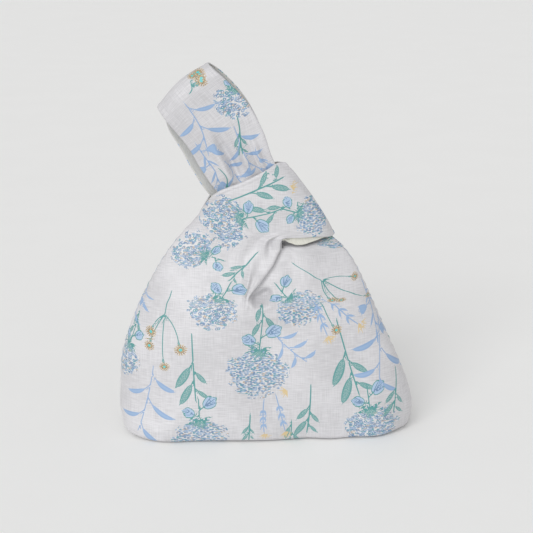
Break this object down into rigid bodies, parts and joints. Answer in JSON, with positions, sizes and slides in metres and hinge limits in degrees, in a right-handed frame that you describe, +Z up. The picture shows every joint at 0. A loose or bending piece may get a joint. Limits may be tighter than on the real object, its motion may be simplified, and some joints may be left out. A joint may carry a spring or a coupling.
{
  "type": "knot bag",
  "caption": "Soft wrist bag of figured silver cloth with a rounded standing body, closed by drawing its long handle loop through its short one.",
  "frame": {"origin": "middle of the flat base, on the surface that the bag stands on", "axes": "+Z up, +X to the right as seen from the front, +Y from the front to the back"},
  "size_m": [0.2591, 0.0888, 0.3215],
  "materials": {
    "figured_cloth": "silvery satin woven with blue flower clusters, teal leaves and small gold daisies",
    "lining": "plain pale satin lining"
  },
  "bodies": {
    "root": {"front_panel": "figured_cloth", "back_panel": "figured_cloth", "collar_lining": "lining", "wrist_lining": "lining"}
  },
  "joints": []
}
